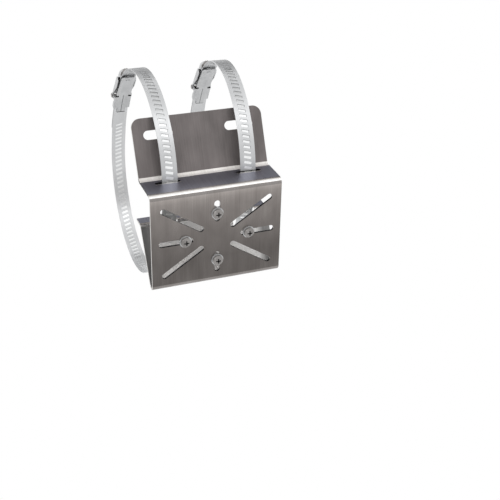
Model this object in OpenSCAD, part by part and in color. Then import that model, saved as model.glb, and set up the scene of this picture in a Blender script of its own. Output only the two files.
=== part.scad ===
// Folded sheet bracket with two quick-release band clamps, for fixing a camera
// to a pole. Millimetres. X runs along the plate, Y runs back to the pole and
// Z is up. The origin is the middle of the camera slots, on the front face.

/* [Sheet] */

// Width of the folded plate
plate_w = 120; // [112:1:150]
// Height of the front face
face_h = 93; // [90:1:110]
// Depth of the top web, from the front face to the flange
web_d = 34.4; // [33:0.2:42]
// Length of the rear flange along its slope
flange_len = 53; // [50:1:70]
// Lean of the rear flange, back from the vertical
flange_lean = 25; // [20:1:30]
// Flat length of the lower return, behind the front face
return_len = 53; // [51:0.5:54]
// Lean of the lower return, back from the vertical
return_lean = 31; // [30:0.5:32]
// Length of the lip on top of the return
lip_len = 11.5; // [10:0.5:16]
// Sheet thickness
sheet_t = 2; // [1.5:0.1:2.5]
// Inside radius of the bends
bend_r = 2.8; // [2:0.1:3]
// Corner radius at the top of the flange
corner_r = 8; // [4:0.5:12]

/* [Slots] */

// Drop from the top of the face to the middle of the camera slots
pattern_drop = 47.5; // [46:0.5:50]
// Width of the camera slots
star_w = 5.4; // [5.3:0.1:6]
// Margin from the end of the plate to the level camera slots
level_edge = 6.6; // [6:0.2:9]
// Inner reach of the level camera slots
level_inner = 22; // [20:0.5:24]
// Outer reach of the upright camera slots
reach_upright = 35.2; // [30:0.2:36]
// Margin from the end of the plate to the diagonal camera slots
diagonal_edge = 9.2; // [8:0.2:16]
// Rise of the diagonal camera slots from the level
diagonal_rise = 33; // [30:1:38]
// Inner reach of the upright and diagonal camera slots
reach_inner = 15; // [14:0.5:17]
// Margin from the end of the plate to the middle of the band and flange slots
slot_edge = 22.8; // [22:0.2:23.4]
// Length of the band slots
band_slot_len = 23; // [20:0.5:26]
// Depth of the band slots in the web
band_slot_w = 4; // [3.4:0.1:5]
// Length of the flange slots
flange_slot_len = 26.4; // [16:0.2:30]
// Width of the flange slots
flange_slot_w = 8; // [5:0.1:9]
// Height of the flange slots above the web, along the slope
flange_slot_up = 37.8; // [30:0.2:40]

/* [Band] */

// Shift of the left band from the middle of its slots
left_shift = 2.5; // [1:0.1:2.8]
// Shift of the right band from the middle of its slots
right_shift = 0.3; // [0:0.1:2]
// Turn of the right band in its slots
right_turn = -3.76; // [-4:0.02:0]
// Width of the band
band_w = 14.1; // [12:0.1:14.4]
// Thickness of the band
band_t = 0.7; // [0.5:0.1:0.8]
// Short half-width of the open loop
loop_a = 84.7; // [84:0.1:86]
// Long half-width of the open loop
loop_b = 111.7; // [110:0.1:113]
// Radius of the loop at its two narrow ends
loop_end_r = 78.5; // [77:0.5:80]
// Tilt of the loop
loop_tilt = 31.25; // [30:0.05:32]
// Loop middle, back from the front face
loop_y = 121.3; // [120.5:0.1:122]
// Loop middle, up from the camera slots
loop_z = 12.6; // [12:0.1:14]
// Step outward of the free end where it passes over the fixed end
lap_step = 1.1; // [1.1:0.05:1.3]
// Pitch of the threads pressed in the band for the worm
rung_pitch = 4.65; // [4.5:0.05:5]
// Metal left between the two faces in each pressed thread
rung_floor = 0.2; // [0.2:0.05:0.3]
// Height of one pressed thread along the band
rung_h = 2.2; // [2:0.1:2.6]
// Length of one pressed thread across the band
rung_w = 6.8; // [6:0.2:8]
// Slant of the threads, set by the worm's lead
rung_slant = -15; // [-16:1:-6]
// Length of the free end past the clamp
tail_len = 34; // [20:1:40]

/* [Clamp] */

// Sheet thickness of the saddle and housing
clamp_t = 0.8; // [0.7:0.05:0.9]
// Side gap between the band and the saddle
side_gap = 0.25; // [0.2:0.05:0.4]
// Start of the saddle tongue along the band, from the lap
tongue_start = -9; // [-10:0.5:-8.5]
// Start of the saddle channel along the band
channel_start = -2.5; // [-3:0.25:-2]
// End of the saddle channel along the band
channel_end = 17; // [16:0.5:18]
// End of the saddle base along the band
base_end = 58; // [54:0.5:58]
// Width of the saddle tongue
tongue_w = 8; // [7:0.5:9]
// Length of the folded tabs that keep the band in the channel
tab_len = 7; // [5:0.5:8]
// Reach of each tab over the band
tab_w = 3.2; // [2.5:0.1:3.5]
// Depth of the bend reliefs at the end of the channel
relief_w = 2.4; // [1.5:0.1:2.6]
// Clear depth between the saddle base and the band
saddle_out = 1.5; // [1.5:0.05:1.8]
// Radius of the rivet and of the spot weld
rivet_r = 1.6; // [1.4:0.1:1.8]
// Position of the housing middle along the band, from the lap
housing_s = 30; // [29.5:0.1:30.5]
// Length of the screw housing
housing_len = 32; // [31:0.5:33]
// Outer radius of the housing barrel
barrel_r = 6.6; // [6.4:0.1:7]
// Rise of the housing edge near the hinge
housing_lift = 1.6; // [0.5:0.1:2]
// Crest radius of the worm
worm_r = 4.6; // [4:0.1:4.8]
// Root radius of the worm
worm_core_r = 3.2; // [2.8:0.1:3.4]
// Gap between the worm crest and the band
worm_gap = 0.3; // [0.3:0.05:0.5]
// Radius of the screw neck
neck_r = 2.2; // [1.8:0.1:2.4]
// Radial clearance of the screw neck in the housing
neck_fit = 0.06; // [0.03:0.01:0.1]
// Hexagon of the screw head, across the flats
head_af = 7; // [6:0.5:8]
// Radius of the hinge pin
pin_r = 1.25; // [1:0.05:1.4]
// Radial clearance of the hinge pin
pin_fit = 0.05; // [0.03:0.01:0.1]

/* [Camera screws] */

// Shank radius of the camera screws
screw_r = 2.4; // [2:0.1:2.5]
// Shank length of the camera screws under the head
screw_len = 12; // [10:0.5:14]
// Radius of the screw heads
screw_head_r = 4.7; // [4.4:0.1:5]
// Height of the screw heads
screw_head_h = 3.4; // [2.8:0.1:4]
// Radius of the washers
washer_r = 5.5; // [5:0.1:6]
// Thickness of the washers
washer_t = 1; // [0.8:0.1:1.4]
// Nut size across the flats
nut_af = 8; // [7.5:0.5:8.5]
// Nut thickness
nut_t = 4; // [3.5:0.1:4.5]
// Radial clearance of the nuts and washers on the shank
nut_fit = 0.06; // [0.03:0.01:0.1]
// Height of the upright pair of screws
screw_up = 23; // [21:0.5:30]
// Distance of the level pair of screws from the middle
screw_side = 29.3; // [28.6:0.1:30]

/* [Hidden] */

// every named piece

// colours
c_sheet = "#9A9692";
c_band = "#BEC0C1";
c_clamp = "#B0B1B2";
c_screw = "#A6A7A8";

// slots
slot_x = plate_w / 2 - slot_edge;
reach_level = plate_w / 2 - level_edge;
reach_diagonal = (plate_w / 2 - diagonal_edge) / cos(diagonal_rise);

// folded section
top_z = pattern_drop;
bottom_z = pattern_drop - face_h;
bend_out = bend_r + sheet_t;
flange_turn = 90 - flange_lean;
flange_set = bend_r * tan(flange_turn / 2);
lip_turn = 90 - return_lean;
lip_set = bend_r * tan(lip_turn / 2);
// flats that make up each bend
bend_steps = 8;

// loop of four arcs
half_band = band_w / 2;
end_c = loop_b - loop_end_r;
side_r = (end_c * end_c + loop_a * loop_a - loop_end_r * loop_end_r) / (2 * (loop_a - loop_end_r));
side_c = side_r - loop_a;
side_half = atan2(end_c, side_c);
lap_shift = lap_step / (1 - cos(side_half));
free_r = side_r + lap_shift;
free_x = -side_c - lap_shift * cos(side_half);
free_y = -lap_shift * sin(side_half);
lap_ang = asin(-free_y / free_r);
function along(s) = lap_ang + s / free_r * 180 / PI;
function across(s) = s / side_r * 180 / PI;
tail_ang = along(-tail_len);
fixed_ang = across(2);
band_spots = [-slot_x + left_shift, slot_x + right_shift];
band_turns = [0, right_turn];
path = [[free_x, free_y, free_r, tail_ang, side_half],
    [0, end_c, loop_end_r, side_half, 180 - side_half],
    [side_c, 0, side_r, 180 - side_half, 180 + side_half],
    [0, -end_c, loop_end_r, 180 + side_half, 360 - side_half],
    [-side_c, 0, side_r, 360 - side_half, 360 + fixed_ang]];
function arc_len(i) = (path[i][4] - path[i][3]) * PI / 180 * path[i][2];
function start_of(i) = i == 0 ? 0 : start_of(i - 1) + arc_len(i - 1);
starts = [for (i = [0 : 5]) start_of(i)];
function arc_at(s) = s < starts[1] ? 0 : s < starts[2] ? 1 : s < starts[3] ? 2 : s < starts[4] ? 3 : 4;
function angle_at(s) = let (k = arc_at(s)) path[k][3] + (s - starts[k]) / path[k][2] * 180 / PI;
function point_at(s, out) = let (k = arc_at(s)) [path[k][0], path[k][1]] + (path[k][2] + out) * dir(angle_at(s));
function dir(a) = [cos(a), sin(a)];
facet_count = floor(starts[5] / rung_pitch);
rung_count = facet_count - 6;

// back edge of the web slots, where the band lies against it
web_on_end = top_z > loop_z + end_c * cos(loop_tilt) - loop_end_r * sin(loop_tilt - side_half);
arc_y = web_on_end ? loop_y - end_c * sin(loop_tilt) : loop_y + side_c * cos(loop_tilt);
arc_z = web_on_end ? loop_z + end_c * cos(loop_tilt) : loop_z + side_c * sin(loop_tilt);
arc_r = web_on_end ? loop_end_r : side_r;
function band_back(z) = arc_y - sqrt(arc_r * arc_r - (z - arc_z) * (z - arc_z));
web_slot_back = max(band_back(top_z), band_back(top_z - sheet_t))
    + rung_pitch * rung_pitch / (8 * loop_end_r) + 0.01;
web_slot_y = web_slot_back - band_slot_w / 2;

// clamp
saddle_in_x = half_band + side_gap;
saddle_out_x = saddle_in_x + clamp_t;
housing_in_x = saddle_out_x + 0.3;
housing_out_x = housing_in_x + clamp_t;
tongue_mid = (tongue_start + channel_start) / 2;
wall_top = band_t + 0.3;
weld_s = base_end - 7.5;
base_corner = 4;
worm_n = worm_gap + worm_r;
shoulder_n = worm_n - 1;
pin_s = -housing_len / 2 - 3;
pin_n = 2.6;
ear_r = 2.8;

// ---- sheet ----

function arc_points(c, r, a0, a1) = [for (i = [0 : bend_steps]) c + r * dir(a0 + (a1 - a0) * i / bend_steps)];

// one closed outline of the folded sheet, seen from its left end
module section() {
    bottom_c = [bend_out, bottom_z + bend_out];
    top_c = [bend_out, top_z - bend_out];
    flange_c = [web_d - flange_set, top_z + bend_r];
    lip_c = bottom_c + (return_len - lip_set) * dir(lip_turn)
        + (bend_out + bend_r) * dir(lip_turn - 90);
    flange_run = (flange_len - flange_set) * dir(flange_turn);
    lip_run = [lip_len - lip_set, 0];
    polygon(concat(
        [lip_c + lip_run + [0, bend_r]],
        arc_points(lip_c, bend_r, 90, 90 + lip_turn),
        arc_points(bottom_c, bend_out, -return_lean, -180),
        arc_points(top_c, bend_out, 180, 90),
        arc_points(flange_c, bend_r, -90, flange_turn - 90),
        [flange_c + bend_r * dir(flange_turn - 90) + flange_run],
        [flange_c + bend_out * dir(flange_turn - 90) + flange_run],
        arc_points(flange_c, bend_out, flange_turn - 90, -90),
        arc_points(top_c, bend_r, 90, 180),
        arc_points(bottom_c, bend_r, -180, -return_lean),
        arc_points(lip_c, bend_out, 90 + lip_turn, 90),
        [lip_c + lip_run + [0, bend_out]]));
}

module slot_cut(len, w, depth) {
    translate([0, 0, -depth / 2]) {
        translate([-len / 2 + w / 2, -w / 2, 0])
            cube([len - w, w, depth]);
        for (side = [-1, 1])
            translate([side * (len - w) / 2, 0, 0])
                cylinder(r = w / 2, h = depth, $fn = 48);
    }
}

module star_slot(angle, inner, outer) {
    rotate([0, -angle, 0])
        translate([(outer + inner) / 2, sheet_t / 2, 0])
            rotate([90, 0, 0])
                slot_cut(outer - inner, star_w, 3 * sheet_t);
}

module flange_frame() {
    translate([0, web_d, top_z])
        rotate([-flange_lean, 0, 0])
            children();
}

module flange_corner(side) {
    flange_frame()
        translate([side * (plate_w / 2 - corner_r), 0, flange_len - corner_r])
            difference() {
                translate([side > 0 ? 0 : -corner_r - 1, -5, 0])
                    cube([corner_r + 1, 10, corner_r + 1]);
                rotate([90, 0, 0])
                    cylinder(r = corner_r, h = 30, center = true, $fn = 64);
            }
}

module mount_plate() {
    color(c_sheet)
        difference() {
            translate([-plate_w / 2, 0, 0])
                rotate([90, 0, 90])
                    linear_extrude(plate_w)
                        section();
            for (angle = [0, 180])
                star_slot(angle, level_inner, reach_level);
            for (angle = [90, 270])
                star_slot(angle, reach_inner, reach_upright);
            for (angle = [diagonal_rise, 180 - diagonal_rise, 180 + diagonal_rise, 360 - diagonal_rise])
                star_slot(angle, reach_inner, reach_diagonal);
            for (side = [-1, 1]) {
                translate([side * slot_x, web_slot_y, top_z - sheet_t / 2])
                    slot_cut(band_slot_len, band_slot_w, 3 * sheet_t);
                flange_frame()
                    translate([side * slot_x, sheet_t / 2, flange_slot_up])
                        rotate([90, 0, 0])
                            slot_cut(flange_slot_len, flange_slot_w, 3 * sheet_t);
                translate([side * slot_x - band_slot_len / 2, 24, -12])
                    cube([band_slot_len, 15, 30]);
                flange_corner(side);
            }
        }
}

// ---- band ----

// side is 0 for the left band and 1 for the right band
module loop_frame(side) {
    turn = band_turns[side];
    translate([band_spots[side], web_slot_back - half_band * sin(abs(turn)), 0])
        rotate([0, 0, turn])
            translate([0, loop_y - web_slot_back, loop_z])
                rotate([90, 0, 90])
                    rotate([0, 0, loop_tilt])
                        children();
}

module strip() {
    translate([0, 0, -band_w / 2])
        linear_extrude(band_w)
            polygon(concat(
                [for (i = [0 : facet_count]) point_at(i * rung_pitch, 0)],
                [for (i = [facet_count : -1 : 0]) point_at(i * rung_pitch, band_t)]));
}

module rung(i) {
    s = (i + 0.5) * rung_pitch;
    middle = point_at(s, band_t / 2);
    translate([middle[0], middle[1], 0])
        rotate([0, 0, angle_at(s)])
            for (face = [-1, 1])
                translate([face * (rung_floor / 2 + band_t), 0, 0])
                    rotate([rung_slant, 0, 0])
                        cube([2 * band_t, rung_h, rung_w], center = true);
}

module band(side) {
    color(c_band)
        loop_frame(side)
            difference() {
                strip();
                for (i = [0 : rung_count - 1])
                    rung(i);
                free_frame(along(tongue_mid), -3)
                    rotate([0, 90, 0])
                        cylinder(r = rivet_r + 0.1, h = 2.6, $fn = 32);
            }
}

module band_left() {
    band(0);
}

module band_right() {
    band(1);
}

// ---- clamp ----

module free_frame(angle, rise) {
    translate([free_x, free_y, 0])
        rotate([0, 0, angle])
            translate([free_r + rise, 0, 0])
                children();
}

module free_arc(s0, s1, rise, t, x0, x1) {
    translate([free_x, free_y, x0])
        rotate([0, 0, along(s0)])
            rotate_extrude(angle = along(s1) - along(s0), $fn = 180)
                translate([free_r + rise, 0])
                    square([t, x1 - x0]);
}

module housing_frame() {
    free_frame(along(housing_s), band_t)
        children();
}

module ear(x0) {
    translate([pin_n, pin_s, x0])
        cylinder(r = ear_r, h = clamp_t - 0.1, $fn = 48);
    translate([-saddle_out - band_t - 1.25, pin_s - ear_r + 0.3, x0])
        cube([pin_n + saddle_out + band_t + 1.25, 2 * ear_r - 0.6, clamp_t - 0.1]);
}

// block that cuts across the saddle base beside a given half-width
module side_cut(s0, len, edge) {
    for (face = [-1, 1])
        free_frame(along(s0), -saddle_out)
            translate([-5, 0, face > 0 ? edge : -edge - 5])
                cube([10, len, 5]);
}

module saddle_base() {
    difference() {
        free_arc(tongue_start, base_end, -saddle_out - clamp_t, clamp_t, 0.05 - saddle_out_x, saddle_out_x - 0.05);
        side_cut(channel_end + 2.4, 60, half_band);
        side_cut(channel_end + 0.4, 2.2, saddle_out_x - relief_w);
        side_cut(channel_start - 20.2, 20, tongue_w / 2);
        for (face = [-1, 1])
            free_frame(along(base_end), -saddle_out)
                translate([0, 0.6, face * (half_band + 0.6)])
                    rotate([45, 0, 0])
                        cube([10, base_corner + 1.2, base_corner + 1.2], center = true);
    }
}

module saddle_wall(face) {
    foot = free_r - saddle_out - clamp_t / 2;
    top = free_r + wall_top;
    plain_len = channel_end - channel_start - tab_len;
    difference() {
        translate([free_x, free_y, 0])
            rotate([0, 0, along(channel_start)])
                rotate_extrude(angle = along(channel_end) - along(channel_start), $fn = 180)
                    polygon([[foot, face * saddle_in_x], [foot, face * saddle_out_x],
                        [top + clamp_t, face * saddle_out_x], [top + clamp_t, face * (saddle_out_x - tab_w)],
                        [top, face * (saddle_out_x - tab_w)], [top, face * saddle_in_x]]);
        free_frame(along(channel_end - plain_len / 2), wall_top - 0.3)
            translate([0, -plain_len / 2, -20])
                cube([5, plain_len + 5, 40]);
    }
}

module saddle(side) {
    color(c_clamp)
        loop_frame(side)
            difference() {
                union() {
                    saddle_base();
                    for (face = [-1, 1]) {
                        saddle_wall(face);
                        housing_frame()
                            ear(face > 0 ? saddle_in_x + 0.05 : 0.05 - saddle_out_x);
                    }
                    free_frame(along(tongue_mid), -saddle_out)
                        rotate([0, 90, 0])
                            translate([0, 0, -0.4])
                                cylinder(r = rivet_r, h = 1.35, $fn = 32);
                    free_frame(along(weld_s), -saddle_out - clamp_t - 0.4)
                        rotate([0, 90, 0])
                            cylinder(r = rivet_r + 0.6, h = 0.8, $fn = 32);
                }
                housing_frame()
                    translate([pin_n, pin_s, 0])
                        cylinder(r = pin_r + pin_fit, h = 40, center = true, $fn = 48);
            }
}

module saddle_left() {
    saddle(0);
}

module saddle_right() {
    saddle(1);
}

module hinge_pin(side) {
    color(c_screw)
        loop_frame(side)
            housing_frame()
                translate([pin_n, pin_s, 0]) {
                    cylinder(r = pin_r, h = 2 * housing_out_x + 0.6, center = true, $fn = 48);
                    for (side = [-1, 1])
                        translate([0, 0, side * (housing_out_x + 0.5)])
                            cylinder(r = pin_r + 0.8, h = 0.8, center = true, $fn = 48);
                }
}

module hinge_pin_left() {
    hinge_pin(0);
}

module hinge_pin_right() {
    hinge_pin(1);
}

module housing_shape(grow, foot) {
    n0 = foot;
    reach = housing_out_x - grow;
    translate([n0, -housing_len / 2, -reach])
        cube([shoulder_n - grow - n0, housing_len, 2 * reach]);
    translate([worm_n, -housing_len / 2, 0])
        rotate([-90, 0, 0])
            cylinder(r = barrel_r - grow, h = housing_len, $fn = 64);
}

module end_wall(s0) {
    intersection() {
        translate([worm_n, s0, 0])
            rotate([-90, 0, 0])
                cylinder(r = barrel_r - clamp_t / 2, h = clamp_t, $fn = 64);
        translate([0.4, s0 - 1, -barrel_r])
            cube([2 * barrel_r + worm_n, clamp_t + 2, 2 * barrel_r]);
    }
}

module housing_ear(face) {
    translate([0, 0, face > 0 ? housing_in_x : -housing_out_x]) {
        translate([pin_n, pin_s, 0])
            cylinder(r = ear_r, h = clamp_t, $fn = 48);
        translate([pin_n - ear_r, pin_s, 0])
            cube([ear_r + shoulder_n - pin_n, 4, clamp_t]);
    }
}

// edge of the side walls, lifted clear of the band near the hinge
module lifted_edge() {
    translate([0, 0, -20])
        linear_extrude(40)
            polygon([[-4, -housing_len / 2 + 1.2], [housing_lift, -housing_len / 2 + 1.2],
                [housing_lift, -housing_len / 2 + 5], [-1.6, 4], [-4, 4]]);
}

module screw_housing(side) {
    color(c_clamp)
        loop_frame(side)
            housing_frame()
                difference() {
                    union() {
                        difference() {
                            housing_shape(0, -1.6);
                            scale([1, 1.2, 1])
                                housing_shape(clamp_t, -3);
                        }
                        end_wall(-housing_len / 2);
                        end_wall(housing_len / 2 - clamp_t);
                        for (face = [-1, 1])
                            housing_ear(face);
                    }
                    lifted_edge();
                    translate([worm_n, -housing_len, 0])
                        rotate([-90, 0, 0])
                            cylinder(r = neck_r + neck_fit, h = 2 * housing_len, $fn = 48);
                    translate([pin_n, pin_s, 0])
                        cylinder(r = pin_r + pin_fit, h = 40, center = true, $fn = 48);
                }
}

module screw_housing_left() {
    screw_housing(0);
}

module screw_housing_right() {
    screw_housing(1);
}

module rod(r, s0, s1, sides) {
    translate([worm_n, s0, 0])
        rotate([-90, 0, 0])
            cylinder(r = r, h = s1 - s0, $fn = sides);
}

module worm_screw(side) {
    half = housing_len / 2;
    head_s = half + 0.1;
    color(c_screw)
        loop_frame(side)
            housing_frame()
                difference() {
                    union() {
                        rod(neck_r, -half - 0.8, head_s + 0.2, 48);
                        rod(worm_core_r, -half + 1.2, half - 1.1, 48);
                        translate([worm_n, -half + 3, 0])
                            rotate([-90, 0, 0])
                                linear_extrude(height = housing_len - 6, twist = -360 * (housing_len - 6) / rung_pitch,
                                    slices = 12 * floor((housing_len - 6) / rung_pitch + 1))
                                    translate([worm_r - worm_core_r, 0])
                                        circle(worm_core_r, $fn = 14);
                        rod(4.6, head_s, head_s + 1.2, 48);
                        rod(head_af / 2 / cos(30), head_s + 1.2, head_s + 6.2, 6);
                    }
                    translate([worm_n - 6, head_s + 4.8, -0.6])
                        cube([12, 4, 1.2]);
                }
}

module worm_screw_left() {
    worm_screw(0);
}

module worm_screw_right() {
    worm_screw(1);
}

// ---- camera screws ----

module fixing(angle) {
    place = abs(sin(angle)) > 0.5 ? screw_up : screw_side;
    rotate([0, -angle, 0])
        translate([place, 0, 0])
            rotate([90, 0, 0])
                children();
}

module camera_screw(angle) {
    color(c_screw)
        fixing(angle)
            translate([0, 0, washer_t])
                difference() {
                    union() {
                        translate([0, 0, -screw_len])
                            cylinder(r = screw_r, h = screw_len + 0.5, $fn = 48);
                        rotate_extrude($fn = 64)
                            intersection() {
                                translate([0, screw_head_h - 8])
                                    circle(8, $fn = 96);
                                square([screw_head_r, screw_head_h]);
                            }
                    }
                    for (turn = [0, 90])
                        rotate([0, 0, turn])
                            translate([-2.3, -0.55, screw_head_h - 1.9])
                                cube([4.6, 1.1, 3]);
                }
}

module washer(angle) {
    color(c_clamp)
        fixing(angle)
            difference() {
                cylinder(r = washer_r, h = washer_t, $fn = 64);
                translate([0, 0, -1])
                    cylinder(r = screw_r + nut_fit, h = washer_t + 2, $fn = 48);
            }
}

module nut(angle) {
    color(c_screw)
        fixing(angle)
            translate([0, 0, -sheet_t - nut_t])
                difference() {
                    cylinder(r = nut_af / 2 / cos(30), h = nut_t, $fn = 6);
                    translate([0, 0, -1])
                        cylinder(r = screw_r + nut_fit, h = nut_t + 2, $fn = 48);
                }
}

module camera_screw_top() {
    camera_screw(90);
}

module camera_screw_bottom() {
    camera_screw(270);
}

module camera_screw_left() {
    camera_screw(180);
}

module camera_screw_right() {
    camera_screw(0);
}

module washer_top() {
    washer(90);
}

module washer_bottom() {
    washer(270);
}

module washer_left() {
    washer(180);
}

module washer_right() {
    washer(0);
}

module nut_top() {
    nut(90);
}

module nut_bottom() {
    nut(270);
}

module nut_left() {
    nut(180);
}

module nut_right() {
    nut(0);
}

mount_plate();
band_left();
band_right();
saddle_left();
saddle_right();
hinge_pin_left();
hinge_pin_right();
screw_housing_left();
screw_housing_right();
worm_screw_left();
worm_screw_right();
camera_screw_top();
camera_screw_bottom();
camera_screw_left();
camera_screw_right();
washer_top();
washer_bottom();
washer_left();
washer_right();
nut_top();
nut_bottom();
nut_left();
nut_right();
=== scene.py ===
import math

import bmesh
import bpy
from mathutils import Matrix, Vector
from mathutils.bvhtree import BVHTree


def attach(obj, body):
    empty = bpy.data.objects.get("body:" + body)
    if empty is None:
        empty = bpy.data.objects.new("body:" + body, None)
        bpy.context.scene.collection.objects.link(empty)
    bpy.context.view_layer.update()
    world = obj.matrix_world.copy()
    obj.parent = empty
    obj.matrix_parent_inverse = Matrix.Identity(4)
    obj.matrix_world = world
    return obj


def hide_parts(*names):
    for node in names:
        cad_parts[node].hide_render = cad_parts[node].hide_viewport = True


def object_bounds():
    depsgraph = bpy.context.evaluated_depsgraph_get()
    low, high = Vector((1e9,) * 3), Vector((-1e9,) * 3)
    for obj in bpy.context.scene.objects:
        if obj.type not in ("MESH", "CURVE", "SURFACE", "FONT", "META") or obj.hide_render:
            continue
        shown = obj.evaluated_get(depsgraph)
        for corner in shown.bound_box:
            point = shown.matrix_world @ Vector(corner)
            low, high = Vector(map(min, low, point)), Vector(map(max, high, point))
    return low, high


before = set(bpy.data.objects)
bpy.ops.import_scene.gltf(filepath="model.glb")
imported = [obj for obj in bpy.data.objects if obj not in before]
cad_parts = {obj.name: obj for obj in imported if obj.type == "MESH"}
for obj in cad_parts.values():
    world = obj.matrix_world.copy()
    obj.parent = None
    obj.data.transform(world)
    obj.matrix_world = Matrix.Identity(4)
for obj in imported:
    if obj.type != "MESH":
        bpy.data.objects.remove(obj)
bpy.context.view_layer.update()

MM = 0.001
SIDES = ("left", "right")
TURNS = {"left": 0.0, "right": -3.76}
FEET = {"left": Vector((-34.7, 25.89, 0)), "right": Vector((37.5, 25.43, 0))}
SPOTS = ("top", "bottom", "left", "right")


# Materials

def colour(hexes):
    """sRGB hex to linear RGBA."""
    out = []
    for i in (1, 3, 5):
        v = int(hexes[i:i + 2], 16) / 255
        out.append(v / 12.92 if v <= 0.04045 else ((v + 0.055) / 1.055) ** 2.4)
    return (*out, 1.0)


def add(tree, kind, links=(), **values):
    """One shader node: values set its fields or inputs, links join outputs to its inputs."""
    n = tree.nodes.new("ShaderNode" + kind)
    for key, value in values.items():
        if key in n.bl_rna.properties:
            setattr(n, key, value)
        else:
            n.inputs[key.replace("_", " ")].default_value = value
    for socket, source in dict(links).items():
        tree.links.new(source, n.inputs[socket])
    return n


def blank(name):
    m = bpy.data.materials.new(name)
    m.use_nodes = True
    m.node_tree.nodes.clear()
    return m, m.node_tree


def brushed(name, base, dark, grain_mm, run_mm, rough, spread, bump, cloud_mm=14.0, cloud=0.5,
            painted_light_ramp=(), along="Z"):
    """Steel with a grain that runs in the Y-Z plane, so it follows the sheet round its bends and
    the strip round its loop. Scales are real sizes: grain_mm across the grain, run_mm along it.
    The optional ramp multiplies painted light and shade into the colour along one axis, as (place
    in mm on the axis along, grey 0 to 1)."""
    m, t = blank(name)
    at = add(t, "TexCoord")
    fine = add(t, "Mapping", {"Vector": at.outputs["Object"]},
               Scale=(1 / (grain_mm * MM), 1 / (run_mm * MM), 1 / (run_mm * MM)))
    streak = add(t, "TexNoise", {"Vector": fine.outputs[0]}, Scale=1.0, Detail=5.0, Roughness=0.62)
    wide = add(t, "Mapping", {"Vector": at.outputs["Object"]},
               Scale=(1 / (cloud_mm * MM), 0.45 / (cloud_mm * MM), 0.45 / (cloud_mm * MM)))
    mottle = add(t, "TexNoise", {"Vector": wide.outputs[0]}, Scale=1.0, Detail=3.0, Roughness=0.5)
    both = add(t, "Mix", {2: streak.outputs["Fac"], 3: mottle.outputs["Fac"]}, data_type="FLOAT")
    both.inputs[0].default_value = cloud
    tone = add(t, "ValToRGB", {"Fac": both.outputs[0]})
    tone.color_ramp.elements[0].position = 0.36
    tone.color_ramp.elements[0].color = colour(dark)
    tone.color_ramp.elements[1].position = 0.64
    tone.color_ramp.elements[1].color = colour(base)
    skin = tone.outputs["Color"]
    # painted light and shade: a grey ramp along one axis multiplied into the colour
    if painted_light_ramp:
        low_mm, high_mm = painted_light_ramp[0][0], painted_light_ramp[-1][0]
        place = add(t, "SeparateXYZ", {"Vector": at.outputs["Object"]})
        level = add(t, "MapRange", {"Value": place.outputs[along]})
        level.inputs["From Min"].default_value = low_mm * MM
        level.inputs["From Max"].default_value = high_mm * MM
        painted_ramp = add(t, "ValToRGB", {"Fac": level.outputs["Result"]})
        stops = painted_ramp.color_ramp.elements
        while len(stops) < len(painted_light_ramp):
            stops.new(0.5)
        for stop, (height, grey) in zip(stops, painted_light_ramp):
            stop.position = (height - low_mm) / (high_mm - low_mm)
            stop.color = (grey, grey, grey, 1)
        mixed = add(t, "Mix", {6: skin, 7: painted_ramp.outputs["Color"]}, data_type="RGBA",
                    blend_type="MULTIPLY")
        mixed.inputs[0].default_value = 1.0
        skin = mixed.outputs[2]
    gloss = add(t, "MapRange", {"Value": both.outputs[0]})
    gloss.inputs["From Min"].default_value = 0.3
    gloss.inputs["From Max"].default_value = 0.7
    gloss.inputs["To Min"].default_value = rough + spread
    gloss.inputs["To Max"].default_value = rough - spread
    relief = add(t, "Bump", {"Height": streak.outputs["Fac"]}, Strength=bump, Distance=0.02 * MM)
    steel = add(t, "BsdfPrincipled", {"Base Color": skin,
                                      "Roughness": gloss.outputs["Result"],
                                      "Normal": relief.outputs["Normal"]},
                Metallic=1.0)
    add(t, "OutputMaterial", {"Surface": steel.outputs["BSDF"]})
    return m


# cold-rolled stainless sheet, linished along its length: grey, streaky, soft reflections
SHEET = brushed("brushed_stainless_sheet", "#827C7B", "#706B6A", 0.35, 60, 0.60, 0.05, 0.35)
# the front face: a lighter copy of the sheet with a painted reflection, lightest at its top bend
# and darker towards its bottom
FACE = brushed("stainless_face_painted_reflection", "#B8B1AD", "#9C9591", 0.4, 80, 0.30, 0.06, 0.35,
               painted_light_ramp=((-45, 0.36), (-20, 0.33), (5, 0.45), (30, 0.60), (38, 0.75), (43, 1.0)))
# the level web and lip, rolled but not linished: smoother, with a blue cast that is a painted
# reflection
LEVEL = brushed("cold_rolled_web_painted_reflection", "#9B9BA6", "#898994", 1.2, 60, 0.38, 0.05, 0.08)
# the return and the back of the front face, painted near white as light reaching in through the
# slots, darker towards its ends
RETURN = brushed("stainless_return_painted_light", "#FCFBFA", "#F2F0EE", 0.6, 60, 0.60, 0.05, 0.1,
                 painted_light_ramp=((-62, 0.16), (-53, 0.30), (-46, 1.0), (46, 1.0), (53, 0.3)), along="X")
# a painted highlight along the middle of each bend: brighter
BEND = brushed("stainless_bend_painted_highlight", "#E9E7E4", "#D2CFCC", 0.5, 60, 0.34, 0.05, 0.2)
# a painted highlight on the hollow side of the upper bend: bright but softer
HOLLOW = brushed("stainless_hollow_painted_highlight", "#F4F2F0", "#E4E1DE", 0.5, 60, 0.80, 0.04, 0.2)
# painted shade on the shoulders of each bend, a mid tone beside the painted highlight
SHOULDER = brushed("stainless_bend_shoulder_painted_shade", "#9A9593", "#87827F", 0.5, 60, 0.27, 0.05, 0.2)
# laser-cut edge of the same sheet, with fine striations, painted bright as an edge highlight
EDGE = brushed("cut_stainless_edge_painted_highlight", "#E2E0DD", "#C9C6C2", 0.3, 0.3, 0.30, 0.05, 0.2)
# slit stainless strip, satin from the rolls
STRIP = brushed("satin_stainless_strip", "#CECFD0", "#C1C2C3", 0.5, 20, 0.46, 0.05, 0.10)
# the inside of the loop, painted lighter than the outside
INNER_PAINTED_LIGHT = brushed("strip_inner_painted_light", "#E0E1E2", "#D2D3D4", 0.5, 20, 0.44, 0.05, 0.10)
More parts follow.
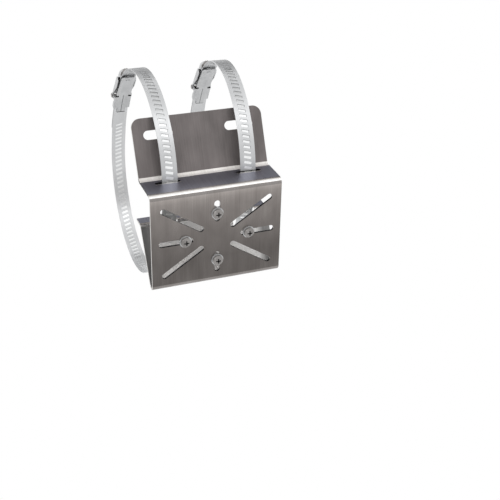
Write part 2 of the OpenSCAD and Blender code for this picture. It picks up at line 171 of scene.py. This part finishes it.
# thread pressed in the strip: its floor near white as a painted reflection, darker towards the top
# of the loop
THREAD = brushed("thread_floor_painted_reflection", "#FBFCFC", "#F1F2F2", 0.5, 4, 0.32, 0.04, 0.05,
                 painted_light_ramp=((70, 1.0), (82, 0.80), (92, 0.66), (112, 0.54)))
# the floor of a thread on the inside of the loop, near white as a painted reflection
PIT = brushed("inner_thread_floor_painted_reflection", "#FCFDFD", "#F4F5F5", 0.5, 4, 0.34, 0.04, 0.05)
# painted shade: dark rims inside the threads and the dark line down the saddle's crease
RIM = brushed("thread_rim_painted_shade", "#7C7E80", "#67696B", 0.5, 4, 0.45, 0.04, 0.05)
# pressed stainless clamp parts, tumbled bright
PRESSED = brushed("tumbled_pressed_stainless", "#CFD0D1", "#C2C3C4", 4.0, 8, 0.44, 0.04, 0.03, 9.0)
# painted shade: dark steel on the slot walls of the sheet, the end of each saddle's tongue and its
# notch edges, and the screw recesses
PAINTED_SHADE = brushed("stainless_painted_shade", "#2E2E30", "#1C1C1E", 1.5, 4, 0.45, 0.05, 0.1, 5.0)
# turned and cold-headed stainless fasteners
TURNED = brushed("turned_stainless", "#A09D9B", "#7F7C7A", 0.6, 2, 0.20, 0.05, 0.1, 4.0)


# Pieces

def depth_behind(tree, face):
    """Metal behind a face, in mm, straight in from its middle."""
    middle = face.calc_center_median()
    hit = tree.ray_cast(middle - face.normal * 0.02 * MM, -face.normal, 0.2)
    return hit[3] / MM if hit[0] is not None else 99.0


# where the painted highlight on the web begins, in mm
HIGHLIGHT_FROM_MM = 30.0
SLOT_BACK_MM = 25.89
SKINS = (SHEET, FACE, LEVEL, RETURN, BEND, HOLLOW, SHOULDER, EDGE, PAINTED_SHADE)


def sheet_finish(tree, face):
    """Place in SKINS of a face of the folded sheet, from the way it faces: lit and shaded copies of
    the same steel, so painted light and shade.
    """
    middle = face.calc_center_median() / MM
    if not 1.6 < depth_behind(tree, face) < 2.4:
        web_slot = 44 < middle.z < 49 and 6 < middle.y < 45 and abs(middle.x) < 60
        face_slot = abs(middle.z) < 43 and middle.y < 2.5 and abs(middle.x) < 57
        # painted shade on the walls of the web slots and the lower walls of the face slots
        dark = web_slot and face.normal.y < 0.3 or face_slot and face.normal.z > 0.25
        return SKINS.index(PAINTED_SHADE if dark else EDGE)
    lean = math.degrees(math.atan2(face.normal.z, -face.normal.y)) % 180
    if abs(lean) < 0.5 or abs(lean - 180) < 0.5:
        return SKINS.index(FACE if face.normal.y < 0 else RETURN)
    for angle, skin in ((25, SHEET), (31, RETURN), (90, LEVEL)):
        if abs(lean - angle) < 0.5:
            return SKINS.index(skin)
    # painted highlight on the hollow of the upper bend
    if middle.y > 20 and middle.z > 40 and face.normal.z > 0:
        return SKINS.index(HOLLOW)
    # painted highlight in the middle of each bend, painted mid tone on its shoulders
    return SKINS.index(BEND if 38 < lean < 62 else SHOULDER)


LOOP_MIDDLE = Vector((0, 121, 12)) * MM
RIM_MM = 0.45
RIM_FROM_MM = 64


def strip_finish(tree, face, foot, turn):
    """0 outside, 1 floor of a thread outside, 2 its rim, 3 inside, 4 floor of a thread inside; 1
    and 4 bear a painted reflection, 2 painted shade and 3 painted light.
    foot is a point on the strip's middle line, in mm, and turn its turn in degrees."""
    width = Vector((math.cos(math.radians(turn)), math.sin(math.radians(turn)), 0))
    reach = max(abs((v.co / MM - foot).dot(width)) for v in face.verts)
    depth = depth_behind(tree, face)
    out = face.calc_center_median() - LOOP_MIDDLE
    inward = face.normal.y * out.y + face.normal.z * out.z < 0
    if depth < 0.35 and reach < 3.8:
        return 4 if inward else 1
    if depth > 1.2 and abs(face.normal.x) < 0.5 and face.normal.z < -0.1:
        return 2
    return 3 if inward else 0


def saddle_painted_shade(bm, turn):
    """Painted shade: the last of the saddle's tongue and the edges of its relief notches are dark,
    and a dark line runs down the crease of its channel. turn is that of the band, in degrees."""
    def split(place, way):
        bmesh.ops.bisect_plane(bm, geom=bm.verts[:] + bm.edges[:] + bm.faces[:], plane_co=place,
                               plane_no=way, dist=0.001 * MM)
    tongue, down = Vector((0, 197.5, 49.5)) * MM, Vector((0, 0.51, -0.86))
    notch, up = Vector((0, 182.6, 71.0)) * MM, Vector((0, -0.62, 0.78))
    middle = sum((v.co for v in bm.verts), Vector()) / len(bm.verts)
    width = Vector((math.cos(math.radians(turn)), math.sin(math.radians(turn)), 0))
    split(tongue, down)
    split(notch - up * 1.3 * MM, up)
    split(notch + up * 1.3 * MM, up)
    for reach in (-4.6, -0.3, 0.3, 4.6):
        split(middle + reach * MM * width, width)
    for face in bm.faces:
        spot = face.calc_center_median()
        across, beyond = abs((spot - middle).dot(width)), (spot - notch).dot(up)
        if (spot - tongue).dot(down) > 0.02 * MM or (abs(beyond) < 1.3 * MM and across > 4.6 * MM):
            face.material_index = 1
        elif beyond < 0 and across < 0.3 * MM:
            face.material_index = 2


def web_painted_highlights(bm):
    """On the web, painted highlights: a bright line along the front edge of each slot, and a bright
    strip over the last of the flat before the upper bend."""
    def top():
        return [f for f in bm.faces if f.normal.z > 0.99 and f.calc_center_median().z > 47 * MM]
    front = SLOT_BACK_MM - 4.0
    planes = [((0, y, 0), (0, 1, 0)) for y in (front - 0.9, front + 0.05, HIGHLIGHT_FROM_MM)]
    planes += [((side * 37.2 + end * 11.5, 0, 0), (1, 0, 0)) for side in (-1, 1) for end in (-1, 1)]
    for place, way in planes:
        faces = top()
        edges = {e for f in faces for e in f.edges}
        verts = {v for f in faces for v in f.verts}
        bmesh.ops.bisect_plane(bm, geom=[*verts, *edges, *faces], plane_co=Vector(place) * MM,
                               plane_no=way, dist=0.001 * MM)
    for face in top():
        spot = face.calc_center_median() / MM
        if front - 0.9 < spot.y < front + 0.05 and abs(abs(spot.x) - 37.2) < 11.5:
            face.material_index = SKINS.index(EDGE)
        elif spot.y > HIGHLIGHT_FROM_MM:
            face.material_index = SKINS.index(HOLLOW)


def recess_painted_shade(bm):
    """Painted shade: the cross recess of a camera screw is black."""
    xs, zs = [v.co.x for v in bm.verts], [v.co.z for v in bm.verts]
    axis = Vector(((min(xs) + max(xs)) / 2, 0, (min(zs) + max(zs)) / 2))
    for face in bm.faces:
        spot = (face.calc_center_median() - axis) / MM
        if -4.0 < spot.y < -1.5 and math.hypot(spot.x, spot.z) < 2.2:
            face.material_index = 1


def thread_rims_painted_shade(bm):
    """Painted shade: a narrow dark rim inside each pressed thread higher than RIM_FROM_MM, along
    its upper and right sides.
    """
    floors = {face for face in bm.faces if face.material_index == 1}
    thread_of, middles = {}, []
    for first in floors:
        if first in thread_of:
            continue
        group, queue = [], [first]
        thread_of[first] = len(middles)
        while queue:
            face = queue.pop()
            group.append(face)
            for e in face.edges:
                for other in e.link_faces:
                    if other in floors and other not in thread_of:
                        thread_of[other] = len(middles)
                        queue.append(other)
        area = sum(face.calc_area() for face in group)
        middles.append(sum((face.calc_center_median() * face.calc_area() for face in group),
                           Vector()) / area)
    ring = bmesh.ops.inset_region(bm, faces=list(floors), thickness=RIM_MM * MM,
                                  use_boundary=True, use_even_offset=False)["faces"]
    for face in ring:
        beside = [other for e in face.edges for other in e.link_faces if other in floors]
        if not beside:
            continue
        if face.calc_center_median().z < RIM_FROM_MM * MM:
            continue
        shift = (face.calc_center_median() - middles[thread_of[beside[0]]]) / MM
        if shift.x > 2.6 or shift.dot(Vector((0, 0.35, 0.94))) > 0.45:
            face.material_index = 2


def dress(name, materials, bevel_mm, body, segments=2, finish=None, after=None):
    """A smooth copy of a CAD node with its loose triangles merged and its edges eased."""
    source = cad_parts[name]
    mesh = source.data.copy()
    mesh.name = name + "_dressed"
    piece = bpy.data.objects.new(name + "_dressed", mesh)
    bpy.context.collection.objects.link(piece)
    bm = bmesh.new()
    bm.from_mesh(mesh)
    bmesh.ops.remove_doubles(bm, verts=bm.verts, dist=0.002 * MM)
    bmesh.ops.dissolve_degenerate(bm, edges=bm.edges, dist=0.002 * MM)
    for face in bm.faces:
        face.material_index = 0
    if finish:
        tree = BVHTree.FromBMesh(bm)
        for face in bm.faces:
            face.material_index = finish(tree, face)
    bmesh.ops.dissolve_limit(bm, angle_limit=math.radians(1.0), verts=bm.verts, edges=bm.edges,
                             delimit={"NORMAL", "MATERIAL"})
    if after:
        after(bm)
    for face in bm.faces:
        face.smooth = True
    for e in bm.edges:
        e.smooth = not (len(e.link_faces) == 2 and e.calc_face_angle(0) > math.radians(32))
    mesh.materials.clear()
    for material in materials:
        mesh.materials.append(material)
    bm.to_mesh(mesh)
    bm.free()
    if bevel_mm:
        ease = piece.modifiers.new("eased_edges", "BEVEL")
        ease.width = bevel_mm * MM
        ease.segments = segments
        ease.limit_method = "ANGLE"
        ease.angle_limit = math.radians(32)
        ease.use_clamp_overlap = True
        ease.harden_normals = True
    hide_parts(name)
    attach(piece, body)
    return piece


dress("mount_plate", SKINS, 0.22, "bracket", finish=sheet_finish, after=web_painted_highlights)
for side in SIDES:
    dress("band_" + side, (STRIP, THREAD, RIM, INNER_PAINTED_LIGHT, PIT), 0, "bracket", after=thread_rims_painted_shade,
          finish=lambda tree, face, side=side: strip_finish(tree, face, FEET[side], TURNS[side]))
    dress("saddle_" + side, (PRESSED, PAINTED_SHADE, RIM), 0.15, "bracket",
          after=lambda bm, turn=TURNS[side]: saddle_painted_shade(bm, turn))
    dress("hinge_pin_" + side, (TURNED,), 0.15, "bracket")
    dress("screw_housing_" + side, (PRESSED,), 0.15, "latch_" + side)
    dress("worm_screw_" + side, (TURNED,), 0.12, "screw_" + side)
for spot in SPOTS:
    dress("camera_screw_" + spot, (TURNED, PAINTED_SHADE), 0.12, "bracket", after=recess_painted_shade)
    dress("washer_" + spot, (PRESSED,), 0.1, "bracket")
    dress("nut_" + spot, (TURNED,), 0.15, "bracket")


# Floor, light and camera

def pale(name):
    """White to the lens and in reflections, plain matt to the lamps."""
    m, t = blank(name)
    path = add(t, "LightPath")
    seen = add(t, "Math", {0: path.outputs["Is Camera Ray"], 1: path.outputs["Is Glossy Ray"]},
               operation="MAXIMUM")
    seen = add(t, "Math", {0: seen.outputs[0], 1: path.outputs["Is Transmission Ray"]},
               operation="MAXIMUM")
    matt = add(t, "BsdfDiffuse")
    matt.inputs["Color"].default_value = colour("#E6E6E6")
    glow = add(t, "Emission", Strength=1.0)
    both = add(t, "MixShader", {0: seen.outputs[0], 1: matt.outputs[0], 2: glow.outputs[0]})
    add(t, "OutputMaterial", {"Surface": both.outputs[0]})
    return m


low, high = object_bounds()
bm = bmesh.new()
bmesh.ops.create_grid(bm, x_segments=1, y_segments=1, size=4.0)
bmesh.ops.translate(bm, verts=bm.verts, vec=(0, 0, low.z - 0.35))
floor_mesh = bpy.data.meshes.new("floor")
bm.to_mesh(floor_mesh)
bm.free()
floor = bpy.data.objects.new("floor", floor_mesh)
bpy.context.collection.objects.link(floor)
floor_mesh.materials.append(pale("pale_floor"))

# dark flag above and behind, seen only in reflections: it gives the level web its deep tone
flag_mesh = bpy.data.meshes.new("flag")
bm = bmesh.new()
bmesh.ops.create_grid(bm, x_segments=1, y_segments=1, size=0.5)
bmesh.ops.scale(bm, verts=bm.verts, vec=(1.20, 0.60, 1))
bm.to_mesh(flag_mesh)
bm.free()
flag = bpy.data.objects.new("flag", flag_mesh)
bpy.context.collection.objects.link(flag)
flag.location = (0.44, 0.92, 0.56)
flag.rotation_mode = "QUATERNION"
flag.rotation_quaternion = (Vector((0.06, 0.02, 0.046)) - flag.location).to_track_quat("Z", "Y")
black, t = blank("black_velvet_flag")
matt = add(t, "BsdfDiffuse")
matt.inputs["Color"].default_value = colour("#303030")
add(t, "OutputMaterial", {"Surface": matt.outputs[0]})
flag_mesh.materials.append(black)
flag.visible_camera = flag.visible_diffuse = flag.visible_shadow = False

world = bpy.data.worlds.new("studio")
bpy.context.scene.world = world
world.use_nodes = True
t = world.node_tree
t.nodes.clear()
path = add(t, "LightPath")
seen = add(t, "Math", {0: path.outputs["Is Camera Ray"], 1: path.outputs["Is Glossy Ray"]},
           operation="MAXIMUM")
seen = add(t, "Math", {0: seen.outputs[0], 1: path.outputs["Is Transmission Ray"]},
           operation="MAXIMUM")
level = add(t, "MapRange", {"Value": seen.outputs[0]})
level.inputs["To Min"].default_value = 0.55
level.inputs["To Max"].default_value = 1.0
sky = add(t, "Background", {"Strength": level.outputs["Result"]})
sky.inputs["Color"].default_value = (1, 1, 1, 1)
add(t, "OutputWorld", {"Surface": sky.outputs[0]})

MIDDLE = Vector((0.0, 0.08, 0.02))


def lamp(name, place, size, watts, tint="#FFFFFF"):
    data = bpy.data.lights.new(name, "AREA")
    data.shape = "RECTANGLE"
    data.size, data.size_y = size
    data.energy = watts
    data.color = colour(tint)[:3]
    o = bpy.data.objects.new(name, data)
    bpy.context.collection.objects.link(o)
    o.location = place
    o.rotation_mode = "QUATERNION"
    o.rotation_quaternion = (MIDDLE - Vector(place)).to_track_quat("-Z", "Y")
    return o


lamp("key", (0.45, -0.62, 1.15), (1.2, 0.5), 2.6)
lamp("fill", (-1.1, -1.2, 0.9), (1.0, 1.0), 3.2)
lamp("back", (0.2, 1.4, 1.2), (1.2, 0.6), 2.4)

eye = bpy.data.cameras.new("eye")
camera = bpy.data.objects.new("eye", eye)
bpy.context.collection.objects.link(camera)
eye.sensor_width = 36.0
eye.lens = 69.48
right = Vector((0.93390538, -0.35691493, 0.02079593)).normalized()
ahead = Vector((0.32141699, 0.81270365, -0.48600813)).normalized()
up = right.cross(ahead).normalized()
camera.matrix_world = Matrix((
    (right.x, up.x, -ahead.x, -0.248024),
    (right.y, up.y, -ahead.y, -0.706410),
    (right.z, up.z, -ahead.z, 0.403129),
    (0, 0, 0, 1)))
eye.clip_start, eye.clip_end = 0.01, 20.0
bpy.context.scene.camera = camera
bpy.context.scene.view_settings.view_transform = "Standard"
